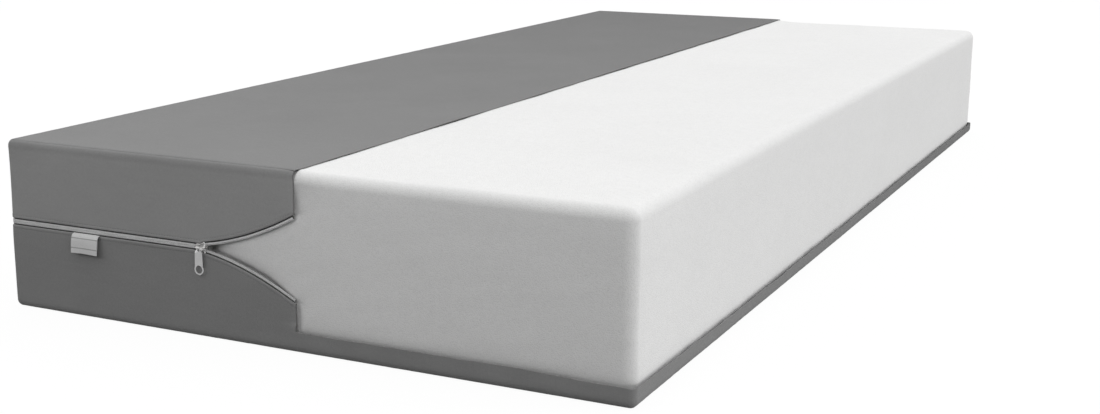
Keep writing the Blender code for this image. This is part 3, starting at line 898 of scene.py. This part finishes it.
def near_face_pinch(x, z):
    """The near face sinks beside the cut, the two open halves of the zip and the lip."""
    inside, beyond = np.minimum(x, CUT_X), np.maximum(x - CUT_X, 0)
    half = np.where(x > OPEN_X, cloth_offset(inside), 0.0)
    lean = np.hypot(1, np.where(x > OPEN_X, chain_slope(inside), 0.0))
    above, below = (ZIP_Z + half - z) / lean, (z - ZIP_Z + half) / lean
    from_end = np.maximum(np.minimum(above, below), 0) * lean
    from_cut = np.where(from_end > 0, np.hypot(x - CUT_X, from_end), x - CUT_X)
    above = np.where(beyond > 0, np.hypot(beyond, above), above)
    below = np.where(beyond > 0, np.hypot(beyond, below), below)
    tip = TIP_DEPTH * np.exp(-np.abs(x - OPEN_X) / TIP_REACH_X - np.abs(z - ZIP_Z) / TIP_REACH_Z)
    high_branch = pinch(above, 0.0045, 0.005, under=0.003, recovery=0.006)
    low_branch = pinch(below, 0.0060, 0.010, **UNDER_ZIP) + pinch(below, 0.0060, 0.0035, **UNDER_ZIP)
    low_branch *= 1 - 0.75 * blend_step(x, CUT_X - 0.060, CUT_X - 0.005)
    under_cloth = blend_step(-np.minimum(above, below), -0.001, 0.002)
    fade = 1 - under_cloth * blend_step(x, CUT_X - 0.014, CUT_X - 0.004)
    opened = blend_step(x, OPEN_X - 0.025, OPEN_X)
    zip_sink = np.maximum(high_branch, low_branch) * fade * opened + tip
    cut_sink = pinch(from_cut, 0.0010, 0.008) + pinch(from_cut, 0.0018, 0.0025)
    cut_sink = cut_sink * (1 - blend_step(z, 0.185, 0.212))
    over_lip = z - LIP_TOP + lip_dip(x, -CORNER_Y) + LIP_TUCK
    lip_sink = pinch(over_lip, 0.0024, 0.009) + pinch(over_lip, 0.0022, 0.004)
    lip_sink = lip_sink * blend_step(x, CUT_X - 0.010, CUT_X)
    return np.maximum(np.maximum(cut_sink, zip_sink), lip_sink)


def foam_pinch(points, away):
    """The cover's edges press into the foam, which swells up beside the cut and fills its edge."""
    x, y, z = points.T
    near = np.clip(-away[:, 1], 0, 1) * near_face_pinch(x, z)
    over_lip = z - LIP_TOP + lip_dip(np.maximum(x, CORNER_X), y) + LIP_TUCK / 2
    on_lip = np.where(x > CUT_X, pinch(over_lip, 0.0016, 0.004), 0)
    side = np.clip(away[:, 0], 0, 1) * on_lip + np.clip(away[:, 1], 0, 1) * on_lip
    from_cut = x - CUT_X
    swell = SWELL * np.exp(-np.abs(from_cut) / np.where(from_cut > 0, 0.014, 0.004))
    upward = np.clip(away[:, 2], 0, 1)
    filled = EDGE_FILL * 2 * np.abs(away[:, 1]) * upward * np.exp(-np.abs(from_cut) / 0.025)
    return near + side - upward * swell - filled


def build_foam(material):
    """One soft-edged block. Its faces carry the slight unevenness of sawn foam."""
    low, high = np.array(foam_low), np.array(foam_high)
    fine = (FOAM_FINE_X, None, FOAM_FINE_Z)
    lines = [rounded_lines(low[i], high[i], FOAM_RADIUS, fine[i]) for i in range(3)]
    shape = [len(line) for line in lines]
    grid = np.stack(np.meshgrid(*lines, indexing="ij"), -1).reshape(-1, 3)
    number = np.arange(len(grid)).reshape(shape)
    sides = []
    for axis in range(3):
        for end in (0, -1):
            side = number.take(end, axis)
            a, b, c, d = side[:-1, :-1], side[1:, :-1], side[1:, 1:], side[:-1, 1:]
            sides.append(np.stack([a, b, c, d], -1).reshape(-1, 4))
    used, faces = np.unique(np.concatenate(sides), return_inverse=True)
    points, faces = grid[used], faces.reshape(-1, 4)
    core = np.clip(points, low + FOAM_RADIUS, high - FOAM_RADIUS)
    away = unit(points - core)
    points = core + away * FOAM_RADIUS
    uneven = 0.00022 * waves(points[:, 0] + points[:, 2], points[:, 1] - points[:, 2], 0.13, 71)
    uneven += 0.00010 * waves(points[:, 0] - points[:, 2], points[:, 1] + points[:, 2], 0.045, 72)
    out = np.clip(uneven - 0.0001, -0.0006, 0.0003) - foam_pinch(points, away)
    points = points + away * out[:, None]
    points[:, 2] = np.maximum(points[:, 2], low[2])
    return mesh_object("foam_block", points, faces, material)


# ---- zip


class Chain:
    """One half of the zip: points half a millimetre apart, with their three directions."""

    def __init__(self, side, depth, last_x, offset=chain_offset):
        near = [(last_x, OPEN_X + 0.02, 0.001), (OPEN_X + 0.02, OPEN_X - 0.003, 0.0005)]
        near += [(OPEN_X - 0.003, -CORNER_X, 0.002)]
        route = left_route(0.002, near)
        z = ZIP_Z + side * offset(np.where(route.near, route.centre[:, 0], OPEN_X - 1))
        points = on_wall(route, z, np.full(len(z), depth))
        walked = distances(points)
        self.length = walked[-1]
        self.walked = np.arange(0, self.length, 0.0005)
        self.points = sampled(self.walked, walked, points)
        self.outward = unit(sampled(self.walked, walked, route.outward))
        self.along = unit(np.gradient(self.points, axis=0))
        self.across = unit(np.cross(self.along, self.outward))
        self.across *= np.where(self.across[:, 2] * side < 0, -1, 1)[:, None]

    def direction(self, walked, values):
        return sampled(walked, self.walked, values)

    def place(self, walked, across, outward):
        """Points at these distances along the chain, moved across it and out of it."""
        across, outward = (np.broadcast_to(a, len(walked))[:, None] for a in (across, outward))
        start = self.direction(walked, self.points)
        start = start + self.direction(walked, self.across) * across
        return start + self.direction(walked, self.outward) * outward


COIL_PITCH = 0.00150
WIRE_RADIUS = 0.00036
CORD_RADIUS = 0.00062
COIL_DEPTH = (0.0003, 0.0025)
COIL_REACH = (-0.0021, 0.0018)
NEAR_COIL = 0.60


def flattened(wave, power):
    """A wave from -1 to 1 that lingers at its ends."""
    return np.sign(wave) * np.abs(wave) ** power


def coil_shape(chain, shift, first, last, per_loop, sides):
    """A flattened spiral whose heads reach just past the zip's centre line."""
    loops = (last - first) / COIL_PITCH
    turn = np.linspace(0, 2 * math.pi * loops, int(loops * per_loop) + 1)
    walked = first + turn / (2 * math.pi) * COIL_PITCH
    low, high = COIL_REACH[0] + WIRE_RADIUS, COIL_REACH[1] - WIRE_RADIUS
    across = (low + high) / 2 - flattened(np.cos(turn + shift), 0.8) * (high - low) / 2
    half_height = (COIL_DEPTH[1] - COIL_DEPTH[0]) / 2 - WIRE_RADIUS
    points = chain.place(walked, across, flattened(np.sin(turn + shift), 0.6) * half_height)
    return tube(points, chain.direction(walked, chain.along), WIRE_RADIUS, sides)


def build_coil(name, side, material):
    """Both stretches of the spiral, finer on the near face, and the cord that fills it."""
    chain = Chain(side, sum(COIL_DEPTH) / 2, OPEN_END_X)
    shift = 0 if side > 0 else math.pi
    shapes = [coil_shape(chain, shift, 0.0, NEAR_COIL, 12, 6)]
    shapes.append(coil_shape(chain, shift, NEAR_COIL, chain.length - 0.0005, 8, 5))
    walked = np.arange(0.0004, chain.length - 0.0004, 0.003)
    points = chain.place(walked, sum(COIL_REACH) / 2 + 0.0003, 0)
    shapes.append(tube(points, chain.direction(walked, chain.outward), CORD_RADIUS, 8))
    return mesh_object(name, *merged(shapes), material)


def build_tape(name, side, material):
    """The woven strip behind the coil, with a thicker selvedge."""
    chain = Chain(side, 0.0028, NEAR_CUT_X - 0.0003)
    walked = np.arange(0, chain.length, 0.003)
    profile = [(-0.0012, 0), (-0.0004, 0.00005), (0.009, 0), (0.0098, 0.00008), (0.0105, 0)]
    profile += [(0.0105, -0.00035), (0.009, -0.0003), (-0.0012, -0.0003)]
    rings = np.stack([chain.place(walked, across, out) for across, out in profile], 1)
    around = np.array([across for across, _ in profile])
    uvs = np.stack(np.broadcast_arrays(walked[:, None], around[None, :]), -1).reshape(-1, 2)
    return mesh_object(name, *swept(rings), material, uvs)


def build_stitches(name, side, seed, material):
    """A row of lockstitches beside the zip. Each dips into the cloth at both ends."""
    setback = STITCH_SETBACK + HEM
    chain = Chain(side, 0.0, NEAR_CUT_X - 0.001, lambda x: cloth_offset(x) + setback)
    pitch, length = 0.0042, 0.0034
    random = np.random.default_rng(seed)
    steps = np.linspace(0, 1, 7)
    shapes = []
    for start in np.arange(0.001, chain.length - pitch, pitch):
        walked = start + length * (steps + random.uniform(-0.02, 0.02))
        across = random.uniform(-0.0001, 0.0001) + 0.00012 * (steps - 0.5)
        points = chain.place(walked, across, -0.0009 + 0.00115 * np.sin(math.pi * steps) ** 0.6)
        radius = 0.00024 * (0.75 + 0.25 * np.sin(math.pi * steps))
        shapes.append(tube(points, chain.direction(walked, chain.across), radius, 6))
    return mesh_object(name, *merged(shapes), material)


# ---- slider and pull tab


def arc(centre_x, centre_z, radius, first_degrees, last_degrees, steps):
    angles = np.radians(np.linspace(first_degrees, last_degrees, steps + 1))
    return [(centre_x + radius * math.cos(a), centre_z + radius * math.sin(a)) for a in angles]


def mirrored(half):
    """A closed outline in metres, from its upper half in millimetres."""
    whole = half + [(x, -z) for x, z in reversed(half) if abs(z) > 1e-9]
    return np.array([(x / 1000, z / 1000) for x, z in whole])


def smoothed(points):
    """Corner cutting, twice: each round turns every corner into two softer ones."""
    for _ in range(2):
        following = np.roll(points, -1, axis=0)
        near, far = points * 0.75 + following * 0.25, points * 0.25 + following * 0.75
        points = np.stack([near, far], 1).reshape(-1, 2)
    return points


def smoothed_path(points):
    """An open path with its inner corners cut twice."""
    points = np.array(points)
    for _ in range(2):
        near, far = points[:-1] * 0.75 + points[1:] * 0.25, points[:-1] * 0.25 + points[1:] * 0.75
        inner = np.stack([near, far], 1).reshape(-1, 2)
        points = np.concatenate([points[:1], inner[1:-1], points[-1:]])
    return points


def inset(points, distance):
    """A closed outline moved inwards."""
    ahead, behind = np.roll(points, -1, axis=0), np.roll(points, 1, axis=0)
    along = unit(ahead - behind)
    inwards = np.stack([-along[:, 1], along[:, 0]], -1)
    area = np.sum(points[:, 0] * ahead[:, 1] - points[:, 1] * ahead[:, 0])
    return points + inwards * distance * np.sign(area)


def upright(section, out):
    """Points in the slider's axes, from (x, z) rows and how far out each one is."""
    return np.stack([section[:, 0], np.broadcast_to(-out, len(section)), section[:, 1]], -1)


def plate(outline, levels):
    """A plate whose outline is drawn in at each (out, inset) level, for domed, rounded edges."""
    return swept(np.stack([upright(inset(outline, drawn_in), out) for out, drawn_in in levels]))


def block(low, high, rounding=0.0002):
    outline = np.array([(low[0], low[2]), (high[0], low[2]), (high[0], high[2]), (low[0], high[2])])
    near, far = -low[1], -high[1]
    return plate(outline, [(far, rounding), (far + rounding, 0), (near - rounding, 0), (near, rounding)])


def build_slider(material):
    """Domed front plate, back plate, wedge, side flanges, and the bridge the pull tab hangs on."""
    front = [(-7.6, 1.4), (-7.3, 2.8), (-6.3, 3.8), (-4.0, 4.2), (-1.0, 4.4), (1.2, 5.4)]
    front += [(3.0, 6.7), (4.6, 7.2), (6.2, 7.1), (7.1, 6.2), (7.4, 4.6), (6.7, 2.4), (5.6, 0.0)]
    back = [(-7.0, 3.0), (-5.0, 4.2), (3.0, 5.5), (6.0, 5.0), (6.6, 3.0)]
    dome = [(0.0003, 0.0002), (0.0005, 0.0), (0.0010, 0.0), (0.00135, 0.00015)]
    dome += [(0.0015, 0.0005), (0.0016, 0.0014)]
    shapes = [
        plate(smoothed(mirrored(front)), dome),
        plate(smoothed(mirrored(back)), [(-0.0040, 0.0001), (-0.0039, 0), (-0.0036, 0), (-0.0035, 0.0001)]),
        plate(mirrored([(2.2, 0.4), (5.0, 1.7)]), [(-0.0037, 0.0), (0.0006, 0.0)]),
    ]
    for side in (1, -1):
        low_z, high_z = sorted((side * 0.0031, side * 0.0041))
        shapes.append(block((-0.0070, -0.0007, low_z), (-0.0022, 0.0024, high_z)))
    bend, left, right, foot = 0.0011, -0.0066, 0.0036, 0.0007
    path = [(left, foot), (left, 0.0020)]
    path += arc(left + bend, BRIDGE_OUT - bend, bend, 180, 90, 6)
    path += arc(right - bend, BRIDGE_OUT - bend, bend, 90, 0, 6)
    across, out = np.array(path + [(right, 0.0020), (right, foot)]).T
    points = np.stack([across, -out, np.zeros(len(out))], -1)
    shapes.append(tube(points, (0, 0, 1), 0.00058 + 0.00030 * np.exp(-(out - foot) / 0.0006), 12))
    points, faces = merged(shapes)
    points = points + np.array([SLIDER_X, -HALF_LENGTH, ZIP_Z])
    obj = mesh_object("slider_casting", points, faces, material)
    obj.data.set_sharp_from_angle(angle=math.radians(50))
    return obj


def tab_loops():
    """The pull tab's outline, its two round holes and its raised bead, from the bridge bar."""
    eye_z, ring_z = -0.0021, -0.0280
    side = [(0.0043, eye_z), (0.0052, -0.0042), (0.0054, -0.0058), (0.0059, -0.0200)]
    shoulder = smoothed_path(side)[1:].tolist()
    ring = arc(0, ring_z, 0.0068, 28, -208, 44)
    outline = arc(0, eye_z, 0.0043, 180, 0, 28) + shoulder + ring
    outline += [(-x, z) for x, z in reversed(shoulder)]
    holes = [arc(0, eye_z + 0.0001, 0.0029, 0, 352, 44), arc(0, ring_z, 0.0053, 0, 352, 44)]
    rim = inset(np.array(outline), 0.00055)
    down = len(shoulder)
    return outline, holes, np.concatenate([rim[-down:], rim[: len(outline) - down - len(ring)]])


def build_pull_tab(material):
    """A flat tab with a raised rim, a finger ring below and a twisted eye round the bridge."""
    thickness = 0.0007
    outline, holes, bead = tab_loops()
    bm = bmesh.new()
    for loop in [outline] + holes:
        verts = [bm.verts.new((x, 0, z)) for x, z in loop]
        for first, second in zip(verts, verts[1:] + verts[:1]):
            bm.edges.new((first, second))
    bmesh.ops.triangle_fill(bm, use_beauty=True, edges=bm.edges)
    for z in np.arange(-0.0345, 0.002, 0.0005):
        everything = bm.verts[:] + bm.edges[:] + bm.faces[:]
        bmesh.ops.bisect_plane(bm, geom=everything, dist=TINY, plane_co=(0, 0, z), plane_no=(0, 0, 1))
    moved = bmesh.ops.extrude_face_region(bm, geom=bm.faces[:])["geom"]
    top = [v for v in moved if isinstance(v, bmesh.types.BMVert)]
    bmesh.ops.translate(bm, vec=(0, thickness, 0), verts=top)
    bmesh.ops.translate(bm, vec=(0, -thickness / 2, 0), verts=bm.verts)
    flat = bmesh_object("pull_tab", bm, material)
    bevel = flat.modifiers.new("rounded rim", "BEVEL")
    bevel.width, bevel.segments = 0.00022, 2
    bevel.limit_method, bevel.angle_limit = "ANGLE", math.radians(60)
    shapes = [bevelled_arrays(flat)]
    bpy.data.objects.remove(flat)
    for face in (-1, 1):
        level = face * (thickness / 2 - 0.00004)
        shapes.append(tube(upright(bead, -level), (0, 1, 0), 0.00028, 8))
    points, faces = merged(shapes)
    points[:, 1] -= 0.53 * points[:, 0] * blend_step(points[:, 2], -0.0066, -0.0020)
    points += np.array([TAB_X, -HALF_LENGTH - BRIDGE_OUT, ZIP_Z])
    tab = mesh_object("pull_tab", points, faces, material)
    tab.data.set_sharp_from_angle(angle=math.radians(55))
    return tab


def bevelled_arrays(obj):
    """An object's points and faces, with its modifiers applied."""
    graph = bpy.context.evaluated_depsgraph_get()
    mesh = bpy.data.meshes.new_from_object(obj.evaluated_get(graph))
    points = np.array([v.co for v in mesh.vertices], float)
    return points, [list(p.vertices) for p in mesh.polygons]


# ---- label


def build_label(material):
    """A ribbon folded in half: both ends in the seam, the fold at the bottom, standing off."""
    top_out, top_z = 0.0009, ZIP_Z - 0.0036
    ribbon_thickness, drop = 0.00022, 0.027
    control = [(0.0, 0.0), (0.0020, -0.0005), (0.0042, -0.0022), (0.0056, -0.0062)]
    control += [(0.0065, -0.0158), (0.0072, -0.0250)]
    spine = smoothed_path(control)
    walked = distances(spine)
    even = spaced(0, walked[-1], 0.0010)
    spine = sampled(even, walked, spine)
    along, out_way = frame_of(spine)
    gap = (0.00028 + 0.00045 * np.sin(math.pi * np.clip(even / even[-1], 0, 1)) ** 2)[:, None]
    turn = np.radians(np.linspace(0, 180, 7))[1:-1, None]
    fold = spine[-1] + (out_way[-1] * np.cos(turn) + along[-1] * np.sin(turn)) * gap[-1]
    path = np.concatenate([spine + out_way * gap, fold, (spine - out_way * gap)[::-1]])
    normal = frame_of(path)[1]
    xs = spaced(label_low.x, label_high.x, 0.0012)
    x = np.broadcast_to(xs, (len(path), len(xs)))
    bow = ((x - xs.mean()) / (xs[-1] - xs[0]) * 2) ** 2
    grids = []
    for depth in (0, ribbon_thickness):
        out, z = ((path - normal * depth)[:, i][:, None] for i in (0, 1))
        share = np.clip(-z / drop, 0, 1)
        ripple = 0.00035 * share * waves(x, 0, 0.030, 91) + 0.0006 * share**2 * bow
        grids.append(np.stack([x, -HALF_LENGTH - top_out - out - ripple, top_z + z + 0 * x], -1))
    uvs = np.stack(np.broadcast_arrays(xs[None, :] - xs[0], distances(path)[:, None]), -1)
    keep = every_cell(x)
    bulges = np.full(x.shape, 0.00008)
    return cloth_sheet("woven_label", *grids, uvs, keep, bulges, material, "folded", "lower_band_cloth")


def frame_of(path):
    """The way along a flat path, and the way to its left, at each point."""
    along = unit(np.gradient(path, axis=0))
    return along, np.stack([-along[:, 1], along[:, 0]], -1)


# ---- stage, lights and camera


def glowing(name, grey, strength):
    material, shader = new_material(name)
    set_inputs(shader, {"Base Color": (grey, grey, grey, 1)})
    set_inputs(shader, {"Emission Color": (1, 1, 1, 1), "Emission Strength": strength})
    return material, shader


def build_stage():
    """A plain white floor, and a plain white surround that lights nothing."""
    floor_material, shader = glowing("white_floor", 0.05, 0.955)
    set_inputs(shader, {"Roughness": 1.0, "Specular IOR Level": 0.0})
    bm = bmesh.new()
    bmesh.ops.create_grid(bm, x_segments=1, y_segments=1, size=60)
    bmesh.ops.translate(bm, vec=(0, 0, -0.0004), verts=bm.verts)
    floor = bmesh_object("floor", bm, floor_material)
    bm = bmesh.new()
    bmesh.ops.create_icosphere(bm, subdivisions=3, radius=45)
    surround = bmesh_object("surround", bm, glowing("white_surround", 0, 1.0)[0])
    for obj in (floor, surround):
        obj.visible_diffuse = False
        obj.visible_glossy = False
        obj.visible_shadow = False


def placed(data, location, way, axis="Z"):
    """A lamp or camera whose own axis points this way."""
    obj = bpy.data.objects.new(data.name, data)
    obj.location = location
    obj.rotation_mode = "QUATERNION"
    obj.rotation_quaternion = Vector(way).to_track_quat(axis, "Y")
    bpy.context.scene.collection.objects.link(obj)
    return obj


SKY_LEVEL, SKY_SLOPE = 0.65, (0.185, 0.585, 0.465)


def build_world():
    """A white sky that is brightest above, behind and to the right, with a dark horizon for gloss."""
    world = bpy.data.worlds.new("studio")
    bpy.context.scene.world = world
    world.use_nodes = True
    background = world.node_tree.nodes["Background"]
    way = source(background, "TexCoord").outputs["Generated"]
    slope = node("VectorMath", {0: way, 1: SKY_SLOPE}, operation="DOT_PRODUCT").outputs["Value"]
    soft = maths("MAXIMUM", maths("ADD", slope, SKY_LEVEL), 0.03)
    upward = node("SeparateXYZ", {0: way}).outputs[2]
    above = spread(upward, 0.10, 1.30, 0.08, 0.45)
    boxes = maths("ADD", above, spread(upward, 0.85, 0.0, -0.34, -0.16))
    glossy = source(background, "LightPath").outputs["Is Glossy Ray"]
    kept = maths("MULTIPLY", soft, maths("SUBTRACT", 1.0, glossy))
    strength = maths("ADD", kept, maths("MULTIPLY", boxes, glossy))
    set_inputs(background, {"Strength": strength, "Color": (1, 1, 1, 1)})


def build_lights():
    """The sky, a weak broad sun from the front left, and a thin strip along the near face."""
    build_world()
    sun = bpy.data.lights.new("front_left", "SUN")
    sun.energy, sun.angle = 0.22, math.radians(30)
    placed(sun, (0, 0, 0), (-0.5, -1.0, 0.7))
    strip = bpy.data.lights.new("front_strip", "AREA")
    strip.shape, strip.energy = "RECTANGLE", 2.4
    strip.size, strip.size_y = 6.0, 0.10
    placed(strip, (0, -1.45, 0.36), (0, -1.0, 0.55)).visible_camera = False


def build_camera():
    lens = bpy.data.cameras.new("camera")
    lens.lens, lens.sensor_width = 50.68, 36.0
    lens.shift_x, lens.shift_y = 0.0602, -0.01385
    lens.clip_end = 200
    yaw, pitch = math.radians(-27.21), math.radians(12.15)
    look = (math.sin(yaw) * math.cos(pitch), math.cos(yaw) * math.cos(pitch), -math.sin(pitch))
    bpy.context.scene.camera = placed(lens, (1.0385, -2.5066, 0.593), look, "-Z")


# ---- assembly

build_camera()
build_lights()
build_stage()
bpy.context.scene.view_settings.view_transform = "Standard"

seam_v = WALL_Z[1] + (math.pi / 2 - SEAM_ANGLE) * COVER_RADIUS
side_u = (CORNER_X - SIDE_SEAM_X, CORNER_X - SIDE_SEAM_X + 2 * HALF_LENGTH)
whole = whole_route()
lower_cut_u = whole.walked[whole.near & (whole.centre[:, 0] < NEAR_CUT_X + TINY)].min()

# Painted shade on the upper band's rounded top edge: darker towards the seam, a little less dark right at
# it.
upper_painted_light = [(1, (seam_v - 0.015, seam_v - 0.004), (1.0, 0.74))]
upper_painted_light.append((1, (seam_v - 0.004, seam_v), (1.0, 1.14)))
# Painted shade on the lower band's right side: darkest at the far corner, lightening towards the near
# corner, where it steps up to the front's tone.
lower_painted_shade = [(0, side_u, (0.80, 1.0)), (0, (side_u[1] - 0.008, side_u[1] + 0.008), (0.91, 1.0))]
# Painted shade on the panels: darker towards the far end.
panel_painted_shade = [(1, (-HALF_LENGTH, HALF_LENGTH), (1.0, 0.78))]
# The three greys are one knit in three painted tones for how the light falls on each part: lightest on the
# upper band, darker on the lower band, darkest on the panels.
upper_cloth = make_cover_cloth("cover_knit_upper", 0.40, upper_painted_light, (0.0, 0.0))
lower_cloth = make_cover_cloth("cover_knit_lower", 0.308, lower_painted_shade, (lower_cut_u, LIP_TOP))
panel_cloth = make_cover_cloth("cover_knit_panels", 0.27, panel_painted_shade)
tape_material = make_tape()
filament = make_monofilament()
thread = make_thread("cover_thread", 0.19)

foam = build_foam(make_foam())
finish_piece(foam, "core", "foam_core")

for body, part, piece in (
    ("upper_cover", "side_band", build_upper_band(upper_cloth)),
    ("lower_cover", "side_band", build_lower_band(lower_cloth)),
    ("upper_cover", "top_panel", build_panel("top_panel_cloth", 1, CUT_X, panel_cloth, 41)),
    ("lower_cover", "bottom_panel", build_panel("bottom_panel_cloth", -1, HALF_WIDTH, panel_cloth, 51)),
):
    finish_piece(piece, body, f"{body}_{part}")

for cover, side, route, seed in (("upper", 1, left_route(), 81), ("lower", -1, whole, 86)):
    for piece, slot, node_name in (
        (build_overlock(f"{cover}_overlock", route, side, thread), "sewing_thread", "panel_seam"),
        (build_coil(f"{cover}_coil", side, filament), "zip_coil", "zip_coil"),
        (build_tape(f"{cover}_tape", side, tape_material), "zip_tape", "zip_tape"),
        (build_stitches(f"{cover}_stitches", side, seed, thread), "sewing_thread", "zip_stitching"),
    ):
        finish_piece(piece, f"{cover}_cover", f"{cover}_{node_name}")

slider = build_slider(make_metal("nickel_plate", 0.68, 0.24, 0.12))
finish_piece(slider, "slider", "zip_slider_body")
finish_piece(build_pull_tab(make_tab_finish()), "pull_tab", "zip_pull_tab")

finish_piece(build_label(make_label_cloth()), "label", "seam_label")
